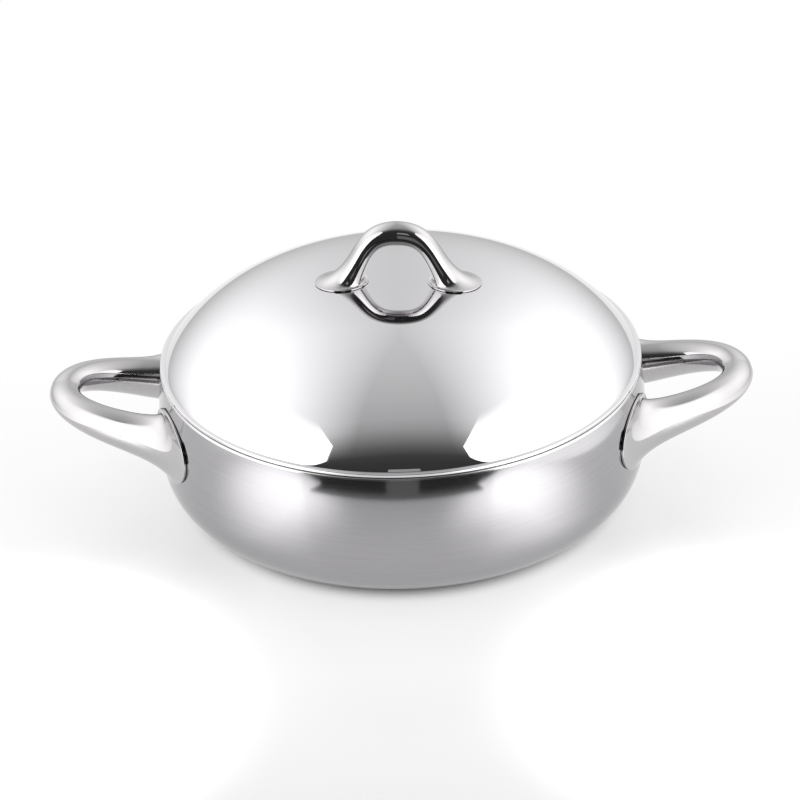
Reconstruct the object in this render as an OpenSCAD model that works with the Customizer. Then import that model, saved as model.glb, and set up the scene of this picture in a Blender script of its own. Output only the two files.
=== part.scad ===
// Low two-handled braiser with a domed lid, all in stainless steel.
// The pot is pressed from bonded sheet in three layers. The side handles and the lid handle
// are solid castings: each ends in two flared feet that follow the metal under them and are
// welded to it, which leaves a hairline gap round every foot.
// Millimetres. The origin is the centre of the flat underside, +Z is up, and the side handles
// point along +X and -X.

/* [Pot] */
// Outside diameter at the rim
rim_d = 280; // [240:1:340]
// Height of the rim above the table
pot_h = 83; // [76:1:120]
// How far the belly stands out past the rim, on the radius
belly_bulge = 3; // [0.5:0.5:8]
// Height of the widest point of the belly
belly_z = 38; // [32:1:46]
// Diameter of the flat underside
base_d = 188; // [150:1:205]
// Fullness of the curve from the underside to the belly, where 2 is an ellipse
corner_power = 2.95; // [2:0.05:4]

/* [Pot sheet] */
// Thickness of the magnetic steel skin outside
skin_t = 0.5; // [0.4:0.1:1]
// Thickness of the aluminium core
core_t = 1.4; // [1:0.1:3]
// Thickness of the stainless lining inside
lining_t = 0.4; // [0.3:0.1:1]
// Height of the lip by which the lining closes over the core and the skin
rim_lip_h = 1.2; // [1:0.1:4]
// Radius on both edges of the rim
rim_round = 0.7; // [0.3:0.1:0.8]

/* [Lid] */
// Thickness of the lid sheet
lid_t = 1; // [0.8:0.1:1.6]
// Height of the dome above its flange
dome_h = 45; // [30:1:70]
// Fullness of the dome's shoulder, where 2 is round
shoulder_power = 3.3; // [2:0.1:4.5]
// Straightness of the dome's flank, where 1 is a plain power curve
flank_power = 1.14; // [1:0.02:1.6]
// Thickness of the folded flange that rests on the rim
flange_t = 2.3; // [2:0.1:4]
// Radius on both edges of the flange
flange_round = 0.95; // [0.3:0.05:0.95]
// How far the flange stays inside the rim's outer edge
flange_setback = 0.3; // [0:0.1:1.2]
// Gap under the flange when the lid rests on the rim
seat_gap = 0.3; // [0.2:0.1:0.8]
// Length of the locating skirt below the flange
skirt_h = 8; // [5:0.5:15]
// Gap all round between the skirt and the pot
skirt_gap = 0.5; // [0.3:0.1:1.5]
// Turn of the lid in its seat, which is free
lid_turn = -4.8; // [-90:0.1:90]

/* [Side handles] */
// From the rim to the middle of the bar at the tip of the loop
handle_reach = 57; // [45:1:80]
// From the rim down to the middle of the bar at the tip
handle_drop = 17; // [10:1:24]
// How broadly the loop rounds at its tip
handle_breadth = 30; // [20:1:40]
// Bar at the tip: its width, seen from above
tip_w = 18; // [12:1:22]
// Bar at the tip: its thickness
tip_t = 13.4; // [10:0.2:18]
// Bar at the pot: its width, seen from above
root_w = 21; // [16:1:26]
// Bar at the pot: its height
root_t = 27.5; // [20:0.5:32]
// Angle from the handle's axis to where the bar's middle meets the pot
root_angle = 14; // [11:0.5:18]
// From the rim down to where the bar's middle meets the pot
root_drop = 32.5; // [26:0.5:36]
// Length over which the bar comes in square to the pot
root_run = 16; // [5:1:25]
// How steeply the bar comes down to the pot, as a rise over that length
root_rise = 4.3; // [0:0.1:10]

/* [Side handle feet] */
// Angle from the handle's axis to the middle of a foot
foot_angle = 20.3; // [18:0.1:25]
// From the rim down to the middle of a foot
foot_drop = 28; // [24:0.5:34]
// Width of a foot along the pot
foot_w = 54; // [36:1:60]
// Height of a foot
foot_h = 40.5; // [30:0.5:44]
// Thickness of a foot's edge
foot_edge = 1.5; // [0.8:0.1:3]
// Hairline between a foot and the pot
foot_gap = 0.4; // [0.3:0.1:0.8]
// Sharpness of the flare from the bar to the foot
foot_flare = 9; // [5:0.5:14]

/* [Lid handle] */
// From the top of the dome to the middle of the bar at the crown
arch_rise = 30.3; // [24:0.1:45]
// Thickness of the bar at the crown
arch_bar = 14; // [10:0.5:18]
// How broadly the arch rounds at its crown
arch_breadth = 21; // [12:1:28]
// From the lid's middle to where the bar's middle meets the dome
arch_root = 29.8; // [24:0.1:36]
// Rise of the bar's last stretch, which sets how steep it stands
arch_leg_rise = 11; // [5:0.5:18]
// Slant of the bar's last stretch
arch_leg_slant = 10; // [0:0.5:16]
// Bar at the dome: its thickness
arch_root_t = 10.4; // [8:0.2:14]
// Bar at the dome: its width, seen from the side
arch_root_w = 12; // [9:0.5:18]

/* [Lid handle feet] */
// From the lid's middle to the middle of a foot
arch_foot_x = 32.5; // [30:0.5:42]
// Length of a foot, away from the lid's middle
arch_foot_l = 31; // [24:0.5:36]
// Width of a foot
arch_foot_w = 28; // [20:0.5:34]
// Thickness of a foot's edge
arch_edge = 1.4; // [0.8:0.1:3]
// Hairline between a foot and the dome
arch_gap = 0.3; // [0.2:0.1:0.8]
// Sharpness of the flare from the bar to the foot
arch_flare = 5; // [3:0.5:10]

/* [Welds] */
// Diameter of a weld nugget under a side handle's foot
weld_d = 9; // [5:0.5:14]
// Distance between the two nuggets under a side handle's foot
weld_pitch = 24; // [15:1:34]
// Diameter of a weld nugget under a foot of the lid handle
arch_weld_d = 6; // [4:0.5:9]
// Distance between the two nuggets under a foot of the lid handle
arch_weld_pitch = 13; // [9.5:0.5:18]

/* [Hidden] */
$fn = 128;

// Steps along the drawn curves, and points round a handle's section
corner_steps = 18;
wall_steps = 8;
dome_steps = 26;
arc_steps = 4;
loop_steps = 20;
arch_steps = 16;
section_points = 32;
cap_steps = 3;
// Rings lie closer together towards the feet, where the flare is
ring_crowding = 1.5;
// A weld stops this far short of the foot's faces, which are flat between their corners
weld_relief = 0.12;

rim_r = rim_d / 2;
belly_r = rim_r + belly_bulge;
base_r = base_d / 2;
core_d0 = skin_t;
lining_d0 = skin_t + core_t;
wall_t = lining_d0 + lining_t;
lip_z = pot_h - rim_lip_h;

flange_z = pot_h + seat_gap;
flange_top = flange_z + flange_t;
flange_r = rim_r - flange_setback;
skirt_r = rim_r - wall_t - skirt_gap;
skirt_z = flange_z - skirt_h;
dome_top = flange_top + dome_h;

foot_z = pot_h - foot_drop;
root_z = pot_h - root_drop;
tip_z = pot_h - handle_drop;
tip_x = rim_r + handle_reach;

// Radius of the pot at height z: full-round corner below the belly, gentle taper above it
function pot_r(z) = z > belly_z
    ? belly_r - belly_bulge * pow((z - belly_z) / (pot_h - belly_z), 2)
    : base_r + (belly_r - base_r)
        * pow(1 - pow(max(1 - z / belly_z, 0), corner_power), 1 / corner_power);

// The pot's outline, set in by a depth d, from the underside up to height top
function corner_point(d, a) = [
    base_r + (belly_r - base_r - d) * pow(sin(a), 2 / corner_power),
    belly_z - (belly_z - d) * pow(cos(a), 2 / corner_power)];
function pot_line(d, top) = concat(
    [for (i = [0:corner_steps]) corner_point(d, 90 * i / corner_steps)],
    [for (i = [1:wall_steps]) let (z = belly_z + (top - belly_z) * i / wall_steps) [pot_r(z) - d, z]]);

// Height of the dome above its flange at radius r, for a dome of radius big_r and height h
function dome_z(r, big_r, h) = h * pow(max(1 - pow(r / big_r, shoulder_power), 0), 1 / flank_power);
// The dome's outline from the top down to the flange. Its points lie closer together at the shoulder.
function dome_line(big_r, h) = [for (i = [0:dome_steps])
    let (r = big_r * sin(90 * i / dome_steps)) [r, flange_top + dome_z(r, big_r, h)]];

// Quarter of a circle about centre c, from angle a0 to a1
function arc(c, r, a0, a1) = [for (i = [0:arc_steps])
    c + r * [cos(a0 + (a1 - a0) * i / arc_steps), sin(a0 + (a1 - a0) * i / arc_steps)]];
function backwards(list) = [for (i = [len(list) - 1:-1:0]) list[i]];

// Cubic curve through four control points, and its direction
function curve(p, t) = pow(1 - t, 3) * p[0] + 3 * t * pow(1 - t, 2) * p[1]
    + 3 * t * t * (1 - t) * p[2] + pow(t, 3) * p[3];
function heading(p, t) = let (v = pow(1 - t, 2) * (p[1] - p[0]) + 2 * t * (1 - t) * (p[2] - p[1])
    + t * t * (p[3] - p[2])) v / norm(v);
function mix(a, b, share) = (1 - share) * a + share * b;
function along(i, steps) = 1 - pow(1 - i / steps, ring_crowding);

// One layer of the pot sheet, between the depths d0 and d1, closed flat at height top
module pot_layer(d0, d1, top) {
    rotate_extrude() polygon(concat([[0, d0]], pot_line(d0, top), backwards(pot_line(d1, top)), [[0, d1]]));
}

module pot_skin() {
    color("lightgray") pot_layer(0, core_d0, lip_z);
}

module pot_core() {
    color("darkgray") pot_layer(core_d0, lining_d0, lip_z);
}

// The lining, with the lip that closes the rim
module pot_lining() {
    rim_arcs = concat(
        arc([rim_r - rim_round, pot_h - rim_round], rim_round, 0, 90),
        arc([rim_r - wall_t + rim_round, pot_h - rim_round], rim_round, 90, 180));
    color("silver") rotate_extrude() polygon(concat(
        [[0, lining_d0]], pot_line(lining_d0, lip_z), [[pot_r(lip_z), lip_z]],
        rim_arcs, backwards(pot_line(wall_t, pot_h - rim_round)), [[0, wall_t]]));
}

// Skin of a swept bar: rings of points from one foot to the other, closed by a point at each end
module swept_bar(rings, first, last) {
    n = len(rings[0]);
    m = len(rings);
    points = concat([for (ring = rings) each ring], [first, last]);
    sides = [for (i = [0:m - 2]) for (j = [0:n - 1]) let (k = (j + 1) % n, a = i * n, b = a + n)
        each [[a + j, b + k, a + k], [a + j, b + j, b + k]]];
    ends = [for (j = [0:n - 1]) let (k = (j + 1) % n, a = (m - 1) * n)
        each [[m * n, j, k], [m * n + 1, a + k, a + j]]];
    polyhedron(points = points, faces = concat(sides, ends), convexity = 6);
}

// Point on a side handle's foot: share of the way out from its middle, angle a round it, and
// distance off above the pot's wall
function foot_point(share, a, off) = let (
    z = foot_z + share * foot_h / 2 * sin(a),
    r = pot_r(z) + off,
    turn = foot_angle + share * foot_w / 2 * cos(a) / pot_r(foot_z) * 180 / PI)
    [r * cos(turn), r * sin(turn), z];
function foot_ring(share, off) = [for (j = [0:section_points - 1])
    foot_point(share, 360 * j / section_points, off)];

// Ring of the side handle's bar, t of the way from the tip to the foot, on the half with +Y
function loop_ring(t) = let (
    root = [pot_r(root_z) * cos(root_angle), pot_r(root_z) * sin(root_angle), root_z],
    line = [[tip_x, 0, tip_z], [tip_x, handle_breadth, tip_z], root + [root_run, 0, root_rise], root],
    middle = curve(line, t),
    ahead = heading(line, t),
    out = [ahead.y, -ahead.x, 0] / norm([ahead.x, ahead.y]),
    up = cross(out, ahead),
    flare = pow(t, foot_flare),
    foot = foot_ring(1, foot_gap + foot_edge))
    [for (j = [0:section_points - 1]) let (a = 360 * j / section_points)
        mix(middle + mix(tip_w, root_w, t) / 2 * cos(a) * out + mix(tip_t, root_t, t) / 2 * sin(a) * up,
            foot[j], flare)];

function mirrored_y(ring) = [for (p = ring) [p.x, -p.y, p.z]];
function mirrored_x(ring) = [for (p = ring) [-p.x, p.y, p.z]];

module side_handle() {
    sole = [for (i = [1:cap_steps]) foot_ring(i / cap_steps, foot_gap)];
    bar = [for (i = [loop_steps:-1:0]) loop_ring(along(i, loop_steps))];
    half = concat(sole, bar);
    tip = len(half) - 1;
    whole = concat(half, [for (i = [tip - 1:-1:0]) mirrored_y(half[i])]);
    middle = foot_point(0, 0, foot_gap);
    swept_bar(whole, middle, [middle.x, -middle.y, middle.z]);
}

module right_handle() {
    color("gainsboro") side_handle();
}

module left_handle() {
    color("gainsboro") rotate([0, 0, 180]) side_handle();
}

// Welds of one side handle: slices of a thin band round the pot, two under each foot
module side_welds() {
    band = [pot_line(0, pot_h), pot_line(weld_relief - foot_gap, pot_h)];
    weld_step = weld_pitch / 2 / pot_r(foot_z) * 180 / PI;
    for (side = [-1, 1], half = [-1, 1])
        intersection() {
            rotate_extrude() polygon(concat(band[0], backwards(band[1])));
            rotate([0, 90, side * foot_angle + half * weld_step]) translate([-foot_z, 0, base_r])
                cylinder(d = weld_d, h = rim_r);
        }
}

module right_handle_welds() {
    color("dimgray") side_welds();
}

module left_handle_welds() {
    color("dimgray") rotate([0, 0, 180]) side_welds();
}

// The lid: dome, folded flange on the rim, and the skirt that keeps it in place
module lid_shell() {
    flange_edge = concat(
        arc([flange_r - flange_round, flange_top - flange_round], flange_round, 90, 0),
        arc([flange_r - flange_round, flange_z + flange_round], flange_round, 0, -90));
    color("whitesmoke") rotate_extrude() polygon(concat(
        dome_line(skirt_r, dome_h), flange_edge,
        [[skirt_r, flange_z], [skirt_r, skirt_z], [skirt_r - lid_t, skirt_z]],
        backwards(dome_line(skirt_r - lid_t, dome_h - lid_t))));
}

// Point on a foot of the lid handle, as for a side handle's foot
function arch_foot_point(share, a, off) = let (
    x = arch_foot_x + share * arch_foot_l / 2 * cos(a),
    y = share * arch_foot_w / 2 * sin(a))
    [x, y, flange_top + dome_z(norm([x, y]), skirt_r, dome_h) + off];
function arch_foot_ring(share, off) = [for (j = [0:section_points - 1])
    arch_foot_point(share, 360 * j / section_points, off)];

// Ring of the lid handle's bar, t of the way from the crown to the foot, on the half with +X
function arch_ring(t) = let (
    root = [arch_root, 0, flange_top + dome_z(arch_root, skirt_r, dome_h)],
    crown = [0, 0, dome_top + arch_rise],
    line = [crown, crown + [arch_breadth, 0, 0], root + [-arch_leg_slant, 0, arch_leg_rise], root],
    middle = curve(line, t),
    ahead = heading(line, t),
    out = [-ahead.z, 0, ahead.x],
    flare = pow(t, arch_flare),
    foot = arch_foot_ring(1, arch_gap + arch_edge))
    [for (j = [0:section_points - 1]) let (a = 360 * j / section_points)
        mix(middle + mix(arch_bar, arch_root_t, t) / 2 * cos(a) * out
            + [0, mix(arch_bar, arch_root_w, t) / 2 * sin(a), 0], foot[j], flare)];

module lid_handle() {
    sole = [for (i = [1:cap_steps]) arch_foot_ring(i / cap_steps, arch_gap)];
    bar = [for (i = [arch_steps:-1:0]) arch_ring(along(i, arch_steps))];
    half = concat(sole, bar);
    crown = len(half) - 1;
    whole = concat(half, [for (i = [crown - 1:-1:0]) mirrored_x(half[i])]);
    middle = arch_foot_point(0, 0, arch_gap);
    color("gainsboro") rotate([0, 0, lid_turn]) swept_bar(whole, middle, [-middle.x, middle.y, middle.z]);
}

// Welds of the lid handle: slices of a thin layer on the dome, two under each foot
module lid_handle_welds() {
    under = dome_line(skirt_r, dome_h);
    over = [for (p = under) p + [0, arch_gap - weld_relief]];
    color("dimgray") rotate([0, 0, lid_turn]) for (side = [-1, 1], half = [-1, 1])
        intersection() {
            rotate_extrude() polygon(concat(under, backwards(over)));
            translate([side * arch_foot_x, half * arch_weld_pitch / 2, pot_h])
                cylinder(d = arch_weld_d, h = dome_top);
        }
}

pot_skin();
pot_core();
pot_lining();
left_handle();
right_handle();
left_handle_welds();
right_handle_welds();
lid_shell();
lid_handle();
lid_handle_welds();
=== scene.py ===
"""Stainless braiser with a domed lid: fine meshes, finishes and a small product studio.

The object's sizes are in millimetres, with the names that the part's source gives them.
The studio's sizes are in metres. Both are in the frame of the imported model.
"""
import math

import bpy
import numpy as np
from mathutils import Matrix, Vector

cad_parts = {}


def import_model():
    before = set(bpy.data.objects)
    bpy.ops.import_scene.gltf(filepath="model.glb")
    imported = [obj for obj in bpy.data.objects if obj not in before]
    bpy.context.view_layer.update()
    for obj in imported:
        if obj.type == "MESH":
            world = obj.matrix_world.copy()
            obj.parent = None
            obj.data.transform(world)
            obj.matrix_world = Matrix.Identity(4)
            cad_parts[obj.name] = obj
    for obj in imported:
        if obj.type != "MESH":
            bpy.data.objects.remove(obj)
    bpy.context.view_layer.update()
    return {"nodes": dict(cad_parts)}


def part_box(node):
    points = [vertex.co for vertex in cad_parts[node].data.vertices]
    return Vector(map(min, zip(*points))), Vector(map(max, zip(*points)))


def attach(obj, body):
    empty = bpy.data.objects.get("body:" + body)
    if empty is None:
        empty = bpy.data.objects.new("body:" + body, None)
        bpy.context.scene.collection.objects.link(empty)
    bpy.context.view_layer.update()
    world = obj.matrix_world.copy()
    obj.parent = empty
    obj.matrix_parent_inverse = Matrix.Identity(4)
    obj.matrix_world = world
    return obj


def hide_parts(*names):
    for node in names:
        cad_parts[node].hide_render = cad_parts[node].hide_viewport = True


MM = 0.001

# ---------------------------------------------------------------- sizes of the object, in mm

RIM_R = 140.0
POT_H = 83.0
BELLY_BULGE = 3.0
BELLY_Z = 38.0
BASE_R = 94.0
CORNER_POWER = 2.95

SKIN_T = 0.5
CORE_T = 1.4
LINING_T = 0.4
RIM_LIP_H = 1.2
RIM_ROUND = 0.7

LID_T = 1.0
DOME_H = 45.0
SHOULDER_POWER = 3.3
FLANK_POWER = 1.14
FLANGE_T = 2.3
FLANGE_ROUND = 0.95
FLANGE_TOP_ROUND = 0.3
FLANGE_SETBACK = 0.3
SEAT_GAP = 0.3
SKIRT_H = 8.0
SKIRT_GAP = 0.5
LID_TURN = math.radians(-4.8)

HANDLE_REACH = 57.0
HANDLE_DROP = 17.0
HANDLE_BREADTH = 30.0
TIP_W, TIP_T = 18.0, 13.4
ROOT_W, ROOT_T = 21.0, 27.5
ROOT_ANGLE = math.radians(14.0)
ROOT_DROP = 32.5
ROOT_RUN, ROOT_RISE = 16.0, 4.3
FOOT_ANGLE = math.radians(20.3)
FOOT_DROP = 28.0
FOOT_W, FOOT_H = 54.0, 40.5
FOOT_EDGE, FOOT_GAP, FOOT_FLARE = 1.2, 0.4, 9.0

ARCH_RISE = 30.3
ARCH_BAR = 14.0
ARCH_BREADTH = 21.0
ARCH_ROOT = 29.8
ARCH_LEG_RISE, ARCH_LEG_SLANT = 11.0, 10.0
ARCH_ROOT_T, ARCH_ROOT_W = 10.4, 12.0
ARCH_FOOT_X, ARCH_FOOT_L, ARCH_FOOT_W = 32.5, 31.0, 28.0
ARCH_EDGE, ARCH_GAP, ARCH_FLARE = 0.7, 0.3, 5.0

BELLY_R = RIM_R + BELLY_BULGE
WALL_T = SKIN_T + CORE_T + LINING_T
LIP_Z = POT_H - RIM_LIP_H
FLANGE_Z = POT_H + SEAT_GAP
FLANGE_TOP = FLANGE_Z + FLANGE_T
FLANGE_R = RIM_R - FLANGE_SETBACK
SKIRT_R = RIM_R - WALL_T - SKIRT_GAP
SKIRT_Z = FLANGE_Z - SKIRT_H
DOME_TOP = FLANGE_TOP + DOME_H
FOOT_Z = POT_H - FOOT_DROP
ROOT_Z = POT_H - ROOT_DROP
TIP_X, TIP_Z = RIM_R + HANDLE_REACH, POT_H - HANDLE_DROP

# Fineness of the meshes
TURN_STEPS = 256
CORNER_STEPS = 72
WALL_STEPS = 30
DOME_STEPS = 140
ARC_STEPS = 6
SECTION_POINTS = 96
LOOP_STEPS = 96
ARCH_STEPS = 80
SOLE_STEPS = 5
RING_CROWDING = 1.5
# Rounding of a foot's edge
EDGE_ROUND = 0.3
SHARP_ANGLE = math.radians(32)
# A fine mesh lies in its node's box to within this
BOX_SLACK = 0.35

# ---------------------------------------------------------------- sizes of the studio, in metres

# Camera: angles in degrees, the target in mm, the focal length as a share of the frame's width
VIEW_DOWN = 29.5
VIEW_ROLL = 1.81
VIEW_TARGET = (-1.1, 0, 52.3)
VIEW_DISTANCE = 1.4
VIEW_FOCAL = 2375 / 800

# Cloth walls beside the object: x, and y and height of their outline from the top front corner down
WALLS = {
    "left": (-0.32, [(-0.41, 0.63), (-0.46, 0.446), (-0.395, 0.2), (-0.38, 0.0)]),
    "right": (0.27, [(-0.445, 0.61), (-0.465, 0.458), (-0.42, 0.267), (-0.395, 0.0)]),
}
# A lamp behind each wall: y and height of the spot, its radius, and the glow there and away from it
SPOT_Y, SPOT_Z, SPOT_R = -0.32, 0.17, 0.26
SPOT_GLOW, WALL_GLOW = 3.0, 2.0
# The walls fade out towards the back between these two y, and from the first of these heights
# up to the second that moves forward, by this much in all
WALL_FADE, WALL_BACK = -0.12, 0.08
WALL_LOW, WALL_HIGH, WALL_STEP = 0.3, 1.0, 0.56

# Round tent of cloth. Its glow by the share of the way to the front (-1) or to the back (1)
TENT_R, TENT_STEPS = 2.4, 48
TENT_GLOW = [
    (-1.0, 0.04), (-0.7, 0.05), (-0.62, 0.065), (-0.53, 0.15), (-0.44, 0.28), (-0.34, 0.43),
    (-0.24, 0.53), (0.0, 0.62), (0.34, 0.71), (0.6, 0.76), (1.0, 0.78),
]
# The sides glow more, from this share of the way to a side on, and further in at the back.
# Between these shares of the way to the front and back, that comes up from nothing
SIDE_GLOW, SIDE_FROM, SIDE_LEAN = 2.1, 0.16, 0.25
SIDE_START, SIDE_END = -0.6, -0.35
# Between these shares of the way up it turns from a dimmer even glow to its full one. The even
# glow is darker in front, and changes between these shares of the way to the front and back
LOW_GLOW, LOW_FRONT = 0.62, 0.04
LOW_START, LOW_END = -0.07, 0.7
FRONT_START, FRONT_END = -0.6, -0.1

# Table: its round front edge and how far round it goes in degrees, the straight edge on both
# sides of that, and half its width
TABLE_R, TABLE_FROM, TABLE_TO, TABLE_STEPS = 0.327, -34, 28, 48
TABLE_FRONT, TABLE_HALF = -0.318, 0.7
# It fades out between these distances from the object
TABLE_FADE, TABLE_END = 0.34, 0.6
TABLE_WHITE, TABLE_IOR, TABLE_ROUGHNESS = 0.8, 1.5, 0.2
# What the camera and the metal see of it is mixed with plain white, as in an overexposed
# background: this share in the middle, less of it between these distances to the side and to the
# front, and all of it at the back, but none within a fixed radius round the object: there the
# table keeps its own shaded tone, so the edge of the object's shadow is painted at that radius
WHITER = 0.7
WHITER_WIDTH, WHITER_FRONT, WHITER_BACK = (0.08, 0.2), (-0.327, -0.2), (-0.3, 0.15)
PAINTED_SHADOW_R = (0.119, 0.136)
# A dim grey strip in front of the round edge: its depth and glow
EDGE_DEPTH, EDGE_GLOW = 0.025, 0.17
# Lamps that point down at the table: place, cone in degrees, and power. Their edges are soft
POOLS = {
    "left_lamp": (-0.205, -0.21, 0.35, 44, 13.5),
    "right_lamp": (0.175, -0.215, 0.35, 44, 14.5),
}
POOL_BLEND, LAMP_R = 1.0, 0.02

# Cards in front: left and right edge, foot and top, and glow
CARD_Y = -1.35
CARDS = {
    "lens_card": (-0.17, 0.17, 0.58, 0.95, 0.4),
    "stand_card": (-0.18, 0.14, -1.0, 0.2, 0.2),
}

# ---------------------------------------------------------------- grain of the metals

# Noise scales: haze and ripple of polished steel, and brushed strokes along and across themselves
HAZE_SCALE, RIPPLE_SCALE, RIPPLE_STRENGTH = 70.0, 45.0, 0.3
STROKE_ALONG, STROKE_ACROSS, STROKE_STRENGTH = 14.0, 900.0, 0.5
# A stroke's colour, as shares of the metal's own
STROKE_DARK, STROKE_LIGHT = 0.96, 1.03
PIT_STRENGTH = 0.6

# ---------------------------------------------------------------- curves


def pot_radius(z):
    """Radius of the pot at height z: a full round corner below the belly, a gentle taper above."""
    if z > BELLY_Z:
        return BELLY_R - BELLY_BULGE * ((z - BELLY_Z) / (POT_H - BELLY_Z)) ** 2
    rise = max(1 - z / BELLY_Z, 0) ** CORNER_POWER
    return BASE_R + (BELLY_R - BASE_R) * (1 - rise) ** (1 / CORNER_POWER)


def pot_line(depth, top):
    """The pot's outline, set in by a depth, from the underside up to a height."""
    line = []
    for i in range(CORNER_STEPS + 1):
        a = math.pi / 2 * i / CORNER_STEPS
        r = BASE_R + (BELLY_R - BASE_R - depth) * math.sin(a) ** (2 / CORNER_POWER)
        z = BELLY_Z - (BELLY_Z - depth) * max(math.cos(a), 0) ** (2 / CORNER_POWER)
        line.append((r, z))
    for i in range(1, WALL_STEPS + 1):
        z = BELLY_Z + (top - BELLY_Z) * i / WALL_STEPS
        line.append((pot_radius(z) - depth, z))
    return line


def dome_z(r, big_r=SKIRT_R, h=DOME_H):
    """Height of a dome above the flange at radius r."""
    return h * max(1 - (r / big_r) ** SHOULDER_POWER, 0) ** (1 / FLANK_POWER)


def dome_line(big_r, h):
    """A dome's outline from the top down to the flange."""
    line = []
    for i in range(DOME_STEPS + 1):
        r = big_r * math.sin(math.pi / 2 * i / DOME_STEPS)
        line.append((r, FLANGE_TOP + dome_z(r, big_r, h)))
    return line


def arc(centre, radius, start, end):
    """Points on a circle, from one angle to the other, in degrees."""
    steps = [math.radians(start + (end - start) * i / ARC_STEPS) for i in range(ARC_STEPS + 1)]
    return [(centre[0] + radius * math.cos(a), centre[1] + radius * math.sin(a)) for a in steps]


def bezier(p, t):
    """Point on the cubic curve through four control points, and its direction."""
    u = 1 - t
    point = u**3 * p[0] + 3 * t * u**2 * p[1] + 3 * t**2 * u * p[2] + t**3 * p[3]
    way = u**2 * (p[1] - p[0]) + 2 * t * u * (p[2] - p[1]) + t**2 * (p[3] - p[2])
    return point, way / np.linalg.norm(way)


def crowded(steps):
    """Shares from 1 down to 0 that lie closer together towards 1."""
    return [1 - (1 - i / steps) ** RING_CROWDING for i in range(steps, -1, -1)]


# ---------------------------------------------------------------- meshes


def new_object(name, points, faces, smooth=True):
    """A mesh object from points in mm."""
    mesh = bpy.data.meshes.new(name)
    mesh.from_pydata([tuple(float(c) * MM for c in p) for p in points], [], faces)
    mesh.validate()
    if smooth:
        mesh.polygons.foreach_set("use_smooth", [True] * len(mesh.polygons))
        mesh.set_sharp_from_angle(angle=SHARP_ANGLE)
    obj = bpy.data.objects.new(name, mesh)
    bpy.context.scene.collection.objects.link(obj)
    return obj


def revolve(name, outline):
    """Turns an outline that starts and ends on the axis, given with the metal on its left."""
    rings = outline[1:-1]
    turns = [2 * math.pi * k / TURN_STEPS for k in range(TURN_STEPS)]
    points = [(r * math.cos(a), r * math.sin(a), z) for r, z in rings for a in turns]
    first, last = len(points), len(points) + 1
    points += [(0, 0, outline[0][1]), (0, 0, outline[-1][1])]
    faces = []
    for k in range(TURN_STEPS):
        n = (k + 1) % TURN_STEPS
        faces.append((first, n, k))
        for i in range(len(rings) - 1):
            a, b = i * TURN_STEPS, (i + 1) * TURN_STEPS
            faces.append((a + k, a + n, b + n, b + k))
        end = (len(rings) - 1) * TURN_STEPS
        faces.append((end + k, end + n, last))
    return new_object(name, points, faces)


def sweep(name, rings, first, last):
    """Skins rings of points, and closes each end with one point."""
    n = len(rings[0])
    points = [p for ring in rings for p in ring] + [first, last]
    faces = []
    end = (len(rings) - 1) * n
    for j in range(n):
        k = (j + 1) % n
        faces.append((len(points) - 2, j, k))
        for i in range(len(rings) - 1):
            faces.append((i * n + j, (i + 1) * n + j, (i + 1) * n + k, i * n + k))
        faces.append((len(points) - 1, end + k, end + j))
    return new_object(name, points, faces)


def stand_for(obj, node, body):
    """obj takes the place of a CAD node, after a test that it has the node's box."""
    low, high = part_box(node)
    corners = np.array([v.co for v in obj.data.vertices])
    off = max(np.abs(corners.min(0) - low).max(), np.abs(corners.max(0) - high).max()) / MM
    if off > BOX_SLACK:
        raise ValueError(f"{obj.name} is {off:.2f} mm off the box of {node}")
    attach(obj, body)
    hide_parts(node)


# ---------------------------------------------------------------- pieces


def pot_body():
    """The outer skin of the pot."""
    outline = [(0, 0)] + pot_line(0, LIP_Z) + pot_line(SKIN_T, LIP_Z)[::-1] + [(0, SKIN_T)]
    return revolve("pot_body", outline)


def pot_inside():
    """The lining, with the rounded lip that closes the rim."""
    depth = SKIN_T + CORE_T
    rim = arc((RIM_R - RIM_ROUND, POT_H - RIM_ROUND), RIM_ROUND, 0, 90)
    rim += arc((RIM_R - WALL_T + RIM_ROUND, POT_H - RIM_ROUND), RIM_ROUND, 90, 180)
    outline = [(0, depth)] + pot_line(depth, LIP_Z) + [(pot_radius(LIP_Z), LIP_Z)] + rim
    outline += pot_line(WALL_T, POT_H - RIM_ROUND)[-2::-1] + [(0, WALL_T)]
    return revolve("pot_inside", outline)


def lid_dome():
    """The lid's sheet: dome, folded flange and skirt."""
    under = dome_line(SKIRT_R - LID_T, DOME_H - LID_T)
    outline = under + [(SKIRT_R - LID_T, SKIRT_Z), (SKIRT_R, SKIRT_Z), (SKIRT_R, FLANGE_Z)]
    low_middle = (FLANGE_R - FLANGE_ROUND, FLANGE_Z + FLANGE_ROUND)
    top_middle = (FLANGE_R - FLANGE_TOP_ROUND, FLANGE_TOP - FLANGE_TOP_ROUND)
    outline += arc(low_middle, FLANGE_ROUND, -90, 0) + arc(top_middle, FLANGE_TOP_ROUND, 0, 90)
    return revolve("lid_dome", outline + dome_line(SKIRT_R, DOME_H)[::-1])


SECTION = [2 * math.pi * j / SECTION_POINTS for j in range(SECTION_POINTS)]


def loop_foot(inset, off, share=1.0):
    """Ring on the pot's wall: a side handle's foot, set in from its edge and off the wall."""
    ring = []
    for a in SECTION:
        z = FOOT_Z + share * (FOOT_H / 2 - inset) * math.sin(a)
        turn = FOOT_ANGLE + share * (FOOT_W / 2 - inset) * math.cos(a) / pot_radius(FOOT_Z)
        r = pot_radius(z) + off
        ring.append((r * math.cos(turn), r * math.sin(turn), z))
    return np.array(ring)


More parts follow.
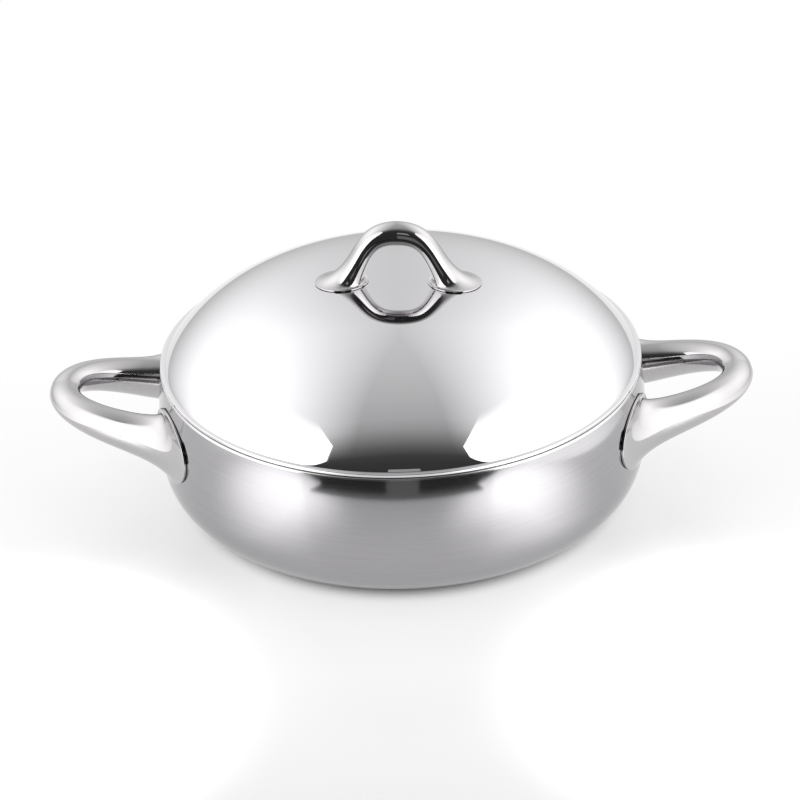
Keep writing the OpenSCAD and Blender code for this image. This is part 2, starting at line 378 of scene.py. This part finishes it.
def loop_bar(t, foot):
    """Ring of the side handle's bar, t of the way from the tip to the foot."""
    r = pot_radius(ROOT_Z)
    root = np.array([r * math.cos(ROOT_ANGLE), r * math.sin(ROOT_ANGLE), ROOT_Z])
    tip = np.array([TIP_X, 0, TIP_Z])
    line = [tip, tip + [0, HANDLE_BREADTH, 0], root + [ROOT_RUN, 0, ROOT_RISE], root]
    middle, ahead = bezier(line, t)
    out = np.array([ahead[1], -ahead[0], 0]) / math.hypot(ahead[0], ahead[1])
    up = np.cross(out, ahead)
    across = (TIP_W + (ROOT_W - TIP_W) * t) / 2 * np.outer(np.cos(SECTION), out)
    along = (TIP_T + (ROOT_T - TIP_T) * t) / 2 * np.outer(np.sin(SECTION), up)
    share = t**FOOT_FLARE
    return (1 - share) * (middle + across + along) + share * foot


def arch_foot(inset, off, share=1.0):
    """Ring on the dome: a foot of the lid handle."""
    ring = []
    for a in SECTION:
        x = ARCH_FOOT_X + share * (ARCH_FOOT_L / 2 - inset) * math.cos(a)
        y = share * (ARCH_FOOT_W / 2 - inset) * math.sin(a)
        ring.append((x, y, FLANGE_TOP + dome_z(math.hypot(x, y)) + off))
    return np.array(ring)


def arch_bar(t, foot):
    """Ring of the lid handle's bar, t of the way from the crown to the foot."""
    root = np.array([ARCH_ROOT, 0, FLANGE_TOP + dome_z(ARCH_ROOT)])
    crown = np.array([0, 0, DOME_TOP + ARCH_RISE])
    bend = root + [-ARCH_LEG_SLANT, 0, ARCH_LEG_RISE]
    middle, ahead = bezier([crown, crown + [ARCH_BREADTH, 0, 0], bend, root], t)
    out = np.array([-ahead[2], 0, ahead[0]])
    thick = (ARCH_BAR + (ARCH_ROOT_T - ARCH_BAR) * t) / 2 * np.outer(np.cos(SECTION), out)
    wide = (ARCH_BAR + (ARCH_ROOT_W - ARCH_BAR) * t) / 2 * np.outer(np.sin(SECTION), [0, 1, 0])
    share = t**ARCH_FLARE
    return (1 - share) * (middle + thick + wide) + share * foot


def handle_half(foot, bar, gap, edge, steps):
    """Rings of half a handle, from the middle of its foot's sole up to the middle of its bar."""
    rings = [foot(0, gap, i / SOLE_STEPS) for i in range(1, SOLE_STEPS + 1)]
    for i in range(ARC_STEPS + 1):
        a = math.pi / 2 * i / ARC_STEPS
        inset = EDGE_ROUND * (1 - math.cos(a))
        rings.append(foot(inset, gap + edge - EDGE_ROUND * (1 - math.sin(a))))
    target = rings[-1]
    return rings + [bar(t, target) for t in crowded(steps)[1:]]


def handle(name, half, mirror, middle):
    """A whole handle from its half, the half's mirror image and the middle of its sole."""
    other = [ring * mirror for ring in half[-2::-1]]
    return sweep(name, half + other, middle, middle * mirror)


def turned(obj, angle):
    """Turns an object's mesh about the vertical axis."""
    obj.data.transform(Matrix.Rotation(angle, 4, "Z"))
    return obj


def side_handle(name, angle):
    """A side handle, turned to its side of the pot."""
    half = handle_half(loop_foot, loop_bar, FOOT_GAP, FOOT_EDGE, LOOP_STEPS)
    middle = loop_foot(0, FOOT_GAP, 0.0)[0]
    return turned(handle(name, half, np.array([1, -1, 1]), middle), angle)


def lid_arch():
    """The lid's handle."""
    half = handle_half(arch_foot, arch_bar, ARCH_GAP, ARCH_EDGE, ARCH_STEPS)
    middle = arch_foot(0, ARCH_GAP, 0.0)[0]
    return turned(handle("lid_arch", half, np.array([-1, 1, 1]), middle), LID_TURN)


# ---------------------------------------------------------------- materials


def node(tree, kind, inputs=None, **settings):
    """Adds a shader node, sets its properties, and links or sets its inputs."""
    made = tree.nodes.new(kind)
    for key, value in settings.items():
        setattr(made, key, value)
    for key, value in (inputs or {}).items():
        if isinstance(value, bpy.types.NodeSocket):
            tree.links.new(value, made.inputs[key])
        else:
            made.inputs[key].default_value = value
    return made


def math_node(tree, operation, *values):
    """The result of a calculation."""
    made = node(tree, "ShaderNodeMath", dict(enumerate(values)), operation=operation)
    return made.outputs[0]


def metal(name, color, **sockets):
    """A metal whose even properties sit on the shader's own sockets. Returns it and its shader."""
    material = bpy.data.materials.new(name)
    material.use_nodes = True
    shader = material.node_tree.nodes["Principled BSDF"]
    shader.inputs["Base Color"].default_value = (*color, 1)
    shader.inputs["Metallic"].default_value = 1.0
    for key, value in sockets.items():
        shader.inputs[key.replace("_", " ")].default_value = value
    return material, shader


def object_place(tree):
    """Position on the object, in metres."""
    return node(tree, "ShaderNodeTexCoord").outputs["Object"]


def ring_place(tree, around, across):
    """Position drawn out into circles about the axis: the scale around them and across them."""
    parts = node(tree, "ShaderNodeSeparateXYZ", {0: object_place(tree)})
    x, y, z = parts.outputs
    level = node(tree, "ShaderNodeCombineXYZ", {0: x, 1: y})
    radius = node(tree, "ShaderNodeVectorMath", {0: level.outputs[0]}, operation="LENGTH")
    run = math_node(tree, "SUBTRACT", z, radius.outputs["Value"])
    place = node(tree, "ShaderNodeCombineXYZ", {0: x, 1: y, 2: run})
    scale = {0: place.outputs[0], 1: (around, around, across)}
    return node(tree, "ShaderNodeVectorMath", scale, operation="MULTIPLY").outputs[0]


def noise(tree, place, scale, detail=3.0, roughness=0.5):
    """A noise's value, around a half."""
    inputs = {"Vector": place, "Scale": scale, "Detail": detail, "Roughness": roughness}
    return node(tree, "ShaderNodeTexNoise", inputs).outputs["Fac"]


def ranged(tree, value, low, high, start=0.3, end=0.7, kind="LINEAR"):
    """Maps a range to another. The range it starts from is a noise's usual one."""
    inputs = {"Value": value, "From Min": start, "From Max": end, "To Min": low, "To Max": high}
    return node(tree, "ShaderNodeMapRange", inputs, interpolation_type=kind).outputs["Result"]


def bump(tree, shader, height, strength, distance):
    """Bends a shader's normal by a height that spans a distance in metres."""
    inputs = {"Height": height, "Strength": strength, "Distance": distance}
    tree.links.new(node(tree, "ShaderNodeBump", inputs).outputs[0], shader.inputs["Normal"])


def polished_steel(name, color, low, high, ripple):
    """Mirror-polished steel: faint haze patches, and the slow ripple of buffed metal."""
    material, shader = metal(name, color)
    tree = material.node_tree
    haze = noise(tree, object_place(tree), HAZE_SCALE)
    tree.links.new(ranged(tree, haze, low, high), shader.inputs["Roughness"])
    waves = noise(tree, object_place(tree), RIPPLE_SCALE, detail=1.0)
    bump(tree, shader, waves, RIPPLE_STRENGTH, ripple * MM)
    return material


def satin_steel(name, color, low, high, anisotropic, groove):
    """Steel brushed in circles about the axis."""
    material, shader = metal(name, color, Anisotropic=anisotropic, Anisotropic_Rotation=0.25)
    tree = material.node_tree
    tangent = node(tree, "ShaderNodeTangent", direction_type="RADIAL", axis="Z")
    tree.links.new(tangent.outputs[0], shader.inputs["Tangent"])
    place = ring_place(tree, STROKE_ALONG, STROKE_ACROSS)
    strokes = noise(tree, place, 1.0, detail=4.0, roughness=0.65)
    tree.links.new(ranged(tree, strokes, low, high), shader.inputs["Roughness"])
    shade = node(tree, "ShaderNodeMix", data_type="RGBA")
    tree.links.new(ranged(tree, strokes, 0.0, 1.0), shade.inputs["Factor"])
    shade.inputs["A"].default_value = (*(STROKE_DARK * c for c in color), 1)
    shade.inputs["B"].default_value = (*(min(STROKE_LIGHT * c, 1) for c in color), 1)
    tree.links.new(shade.outputs["Result"], shader.inputs["Base Color"])
    bump(tree, shader, strokes, STROKE_STRENGTH, groove * MM)
    return material


def rough_metal(name, color, low, high, grain, depth):
    """Unpolished metal with a fine grain."""
    material, shader = metal(name, color)
    tree = material.node_tree
    pits = noise(tree, object_place(tree), grain, detail=5.0)
    tree.links.new(ranged(tree, pits, low, high), shader.inputs["Roughness"])
    bump(tree, shader, pits, PIT_STRENGTH, depth * MM)
    return material


def dress(obj, material):
    """Gives an object one material for all its faces."""
    obj.data.materials.clear()
    obj.data.materials.append(material)


def dress_underside(lid, material):
    """Gives the lid's skirt and the underside of its dome a material of their own."""
    lid.data.materials.append(material)
    for face in lid.data.polygons:
        x, y, z = face.center / MM
        if math.hypot(x, y) < SKIRT_R and (z < FLANGE_Z or face.normal.z < 0):
            face.material_index = 1


# ---------------------------------------------------------------- studio


def glow(name, strength):
    """An emitting material of even strength. Returns it, its tree and its emission node."""
    material = bpy.data.materials.new(name)
    material.use_nodes = True
    tree = material.node_tree
    tree.nodes.clear()
    light = node(tree, "ShaderNodeEmission", {"Strength": strength})
    output = node(tree, "ShaderNodeOutputMaterial")
    tree.links.new(light.outputs[0], output.inputs["Surface"])
    return material, tree, light


def flat(name, corners, material):
    """A flat piece of the stage, from its corners in metres."""
    points = [Vector(c) / MM for c in corners]
    obj = new_object(name, points, [tuple(range(len(points)))], smooth=False)
    dress(obj, material)
    return obj


def card(name, corners, material):
    """A flat stage card that the camera doesn't see, but the metal does."""
    obj = flat(name, corners, material)
    obj.visible_camera = False
    return obj


def walls():
    """A cloth wall on each side, with a lamp's spot on it, that fades into the tent at its back."""
    for side, (x, outline) in WALLS.items():
        material, tree, light = glow(f"{side}_wall_cloth", WALL_GLOW)
        place = object_place(tree)
        run = {0: place, 1: (x, SPOT_Y, SPOT_Z)}
        away = node(tree, "ShaderNodeVectorMath", run, operation="DISTANCE").outputs["Value"]
        spread = ranged(tree, away, SPOT_GLOW, WALL_GLOW, 0.0, SPOT_R, "SMOOTHSTEP")
        tree.links.new(spread, light.inputs["Strength"])
        _, y, z = node(tree, "ShaderNodeSeparateXYZ", {0: place}).outputs
        above = ranged(tree, z, 0.0, WALL_STEP, WALL_LOW, WALL_HIGH)
        behind = math_node(tree, "ADD", y, above)
        share = ranged(tree, behind, 1.0, 0.0, WALL_FADE, WALL_BACK, "SMOOTHSTEP")
        clear = node(tree, "ShaderNodeBsdfTransparent")
        ends = {0: share, 1: clear.outputs[0], 2: light.outputs[0]}
        mix = node(tree, "ShaderNodeMixShader", ends)
        tree.links.new(mix.outputs[0], tree.nodes["Material Output"].inputs["Surface"])
        top = outline[0][1]
        corners = [(x, y, z) for y, z in outline] + [(x, WALL_BACK, 0), (x, WALL_BACK, top)]
        card(f"{side}_wall", corners, material)


def tent():
    """A round tent of cloth: dark in front, light behind and lightest at the sides."""
    material, tree, light = glow("tent_cloth", 1.0)
    way = node(tree, "ShaderNodeVectorMath", {0: object_place(tree)}, operation="NORMALIZE")
    x, y, z = node(tree, "ShaderNodeSeparateXYZ", {0: way.outputs[0]}).outputs
    ramp = node(tree, "ShaderNodeValToRGB", {0: ranged(tree, y, 0.0, 1.0, -1.0, 1.0)})
    stops = ramp.color_ramp.elements
    stops.remove(stops[1])
    for i, (share, value) in enumerate(TENT_GLOW):
        stop = stops[0] if i == 0 else stops.new((share + 1) / 2)
        stop.color = (value, value, value, 1)
    aside = math_node(tree, "ABSOLUTE", x)
    lean = math_node(tree, "MULTIPLY_ADD", y, SIDE_LEAN, aside)
    gain = ranged(tree, lean, 0.0, SIDE_GLOW * (1 - SIDE_FROM), SIDE_FROM, 1.0)
    reach = ranged(tree, y, 0.0, 1.0, SIDE_START, SIDE_END)
    total = math_node(tree, "MULTIPLY_ADD", gain, reach, ramp.outputs[0])
    horizon = ranged(tree, y, LOW_FRONT, LOW_GLOW, FRONT_START, FRONT_END)
    height = ranged(tree, z, 0.0, 1.0, LOW_START, LOW_END)
    strength = node(tree, "ShaderNodeMix", {"Factor": height, "A": horizon, "B": total})
    tree.links.new(strength.outputs[0], light.inputs["Strength"])
    bpy.ops.mesh.primitive_uv_sphere_add(
        segments=2 * TENT_STEPS, ring_count=TENT_STEPS, radius=TENT_R
    )
    obj = bpy.context.object
    obj.name = "tent"
    dress(obj, material)
    obj.visible_camera = False


def front_arc():
    """Points on the table's round front edge, from left to right."""
    shares = [i / TABLE_STEPS for i in range(TABLE_STEPS + 1)]
    turns = [math.radians(TABLE_FROM + (TABLE_TO - TABLE_FROM) * share) for share in shares]
    return [(TABLE_R * math.sin(a), -TABLE_R * math.cos(a), 0) for a in turns]


def table_cloth():
    """The table's white, which fades out far from the object and is whiter to look at."""
    material = bpy.data.materials.new("table_white")
    material.use_nodes = True
    tree = material.node_tree
    shader = tree.nodes["Principled BSDF"]
    shader.inputs["Base Color"].default_value = (TABLE_WHITE, TABLE_WHITE, TABLE_WHITE, 1)
    shader.inputs["IOR"].default_value = TABLE_IOR
    shader.inputs["Roughness"].default_value = TABLE_ROUGHNESS
    place = object_place(tree)
    away = node(tree, "ShaderNodeVectorMath", {0: place}, operation="LENGTH").outputs["Value"]
    alpha = ranged(tree, away, 1.0, 0.0, TABLE_FADE, TABLE_END, "SMOOTHSTEP")
    tree.links.new(alpha, shader.inputs["Alpha"])
    seen = node(tree, "ShaderNodeLightPath").outputs
    direct = math_node(tree, "ADD", seen["Is Camera Ray"], seen["Is Glossy Ray"])
    share = math_node(tree, "ADD", direct, seen["Is Transmission Ray"])
    x, y, _ = node(tree, "ShaderNodeSeparateXYZ", {0: place}).outputs
    across = ranged(tree, math_node(tree, "ABSOLUTE", x), WHITER, 0.0, *WHITER_WIDTH)
    middle = math_node(tree, "MULTIPLY", across, ranged(tree, y, 0.0, 1.0, *WHITER_FRONT))
    back = ranged(tree, y, 0.0, 1.0, *WHITER_BACK)
    both = math_node(tree, "MAXIMUM", middle, back)
    # Painted shadow edge: no white within a fixed radius round the object, so the table stays
    # darker there
    beside = ranged(tree, away, 0.0, 1.0, *PAINTED_SHADOW_R, "SMOOTHSTEP")
    whiter = math_node(tree, "MULTIPLY", share, math_node(tree, "MULTIPLY", both, beside))
    white = node(tree, "ShaderNodeEmission", {"Strength": 1.0})
    ends = {0: whiter, 1: shader.outputs[0], 2: white.outputs[0]}
    mix = node(tree, "ShaderNodeMixShader", ends)
    tree.links.new(mix.outputs[0], tree.nodes["Material Output"].inputs["Surface"])
    return material


def table():
    """A white table whose front edge lies just below the photograph's frame."""
    front = front_arc()
    right = [(front[-1][0], TABLE_FRONT, 0), (TABLE_HALF, TABLE_FRONT, 0)]
    back = [(TABLE_HALF, TABLE_HALF, 0), (-TABLE_HALF, TABLE_HALF, 0)]
    left = [(-TABLE_HALF, TABLE_FRONT, 0), (front[0][0], TABLE_FRONT, 0)]
    flat("table", front + right + back + left, table_cloth())
    edge, _, _ = glow("table_edge_grey", EDGE_GLOW)
    card("table_edge", [(x, y - EDGE_DEPTH, 0) for x, y, _ in front] + front[::-1], edge)


def pools():
    """A lamp over the table on each side, beside the object."""
    for name, (x, y, z, cone, power) in POOLS.items():
        data = bpy.data.lights.new(name, "SPOT")
        data.energy = power
        data.spot_size = math.radians(cone)
        data.spot_blend = POOL_BLEND
        data.shadow_soft_size = LAMP_R
        obj = bpy.data.objects.new(name, data)
        obj.location = (x, y, z)
        bpy.context.scene.collection.objects.link(obj)


def camera_side():
    """What stands round the camera: pale and dim cards that show in the metal."""
    for name, (x0, x1, z0, z1, strength) in CARDS.items():
        material, _, _ = glow(name, strength)
        corners = [(x, CARD_Y, z) for x, z in ((x0, z0), (x1, z0), (x1, z1), (x0, z1))]
        card(name, corners, material)


def world():
    """An even white, which the camera sees behind the table."""
    studio = bpy.data.worlds.new("studio")
    bpy.context.scene.world = studio
    studio.use_nodes = True
    tree = studio.node_tree
    tree.nodes["Background"].inputs["Color"].default_value = (1, 1, 1, 1)
    tree.nodes["Background"].inputs["Strength"].default_value = 1.0


def camera():
    """The photograph's view, with the slight roll of its camera."""
    tilt, roll = math.radians(VIEW_DOWN), math.radians(VIEW_ROLL)
    ahead = Vector((0, math.cos(tilt), -math.sin(tilt)))
    up = Vector((0, math.sin(tilt), math.cos(tilt)))
    right = Vector((1, 0, 0))
    side = right * math.cos(roll) - up * math.sin(roll)
    top = right * math.sin(roll) + up * math.cos(roll)
    data = bpy.data.cameras.new("camera")
    data.lens = VIEW_FOCAL * data.sensor_width
    obj = bpy.data.objects.new("camera", data)
    spot = Vector(VIEW_TARGET) * MM - ahead * VIEW_DISTANCE
    turn = Matrix((side, top, -ahead)).transposed().to_4x4()
    obj.matrix_world = Matrix.Translation(spot) @ turn
    bpy.context.scene.collection.objects.link(obj)
    bpy.context.scene.camera = obj


# ---------------------------------------------------------------- assembly

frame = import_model()

camera()
world()
table()
walls()
tent()
pools()
camera_side()

MIRROR = polished_steel("mirror_steel", (0.695, 0.685, 0.70), 0.02, 0.045, 0.004)
CAST = polished_steel("cast_steel", (0.50, 0.49, 0.495), 0.02, 0.05, 0.006)
SATIN = satin_steel("satin_steel_outside", (0.38, 0.373, 0.385), 0.08, 0.10, 0.2, 0.0002)
LINING = satin_steel("satin_steel_inside", (0.60, 0.595, 0.59), 0.16, 0.26, 0.5, 0.004)
ALUMINIUM = rough_metal("rolled_aluminium", (0.75, 0.75, 0.76), 0.3, 0.5, 400.0, 0.02)
WELD = rough_metal("weld_metal", (0.32, 0.31, 0.30), 0.4, 0.6, 900.0, 0.05)

PIECES = [
    (pot_body, "pot_skin", "pot", "satin_steel", SATIN),
    (pot_inside, "pot_lining", "pot", "lining_steel", LINING),
    (lambda: side_handle("left_loop", math.pi), "left_handle", "pot", "handle_steel", CAST),
    (lambda: side_handle("right_loop", 0.0), "right_handle", "pot", "handle_steel", CAST),
    (lid_dome, "lid_shell", "lid", "lid_steel", MIRROR),
    (lid_arch, "lid_handle", "lid", "handle_steel", CAST),
]
for make, cad_node, body, slot, finish in PIECES:
    piece = make()
    dress(piece, finish)
    stand_for(piece, cad_node, body)
    if make is lid_dome:
        dress_underside(piece, LINING)

dress(frame["nodes"]["pot_core"], ALUMINIUM)
for cad_node in ("left_handle_welds", "right_handle_welds", "lid_handle_welds"):
    dress(frame["nodes"][cad_node], WELD)

bpy.context.scene.view_settings.view_transform = "Standard"
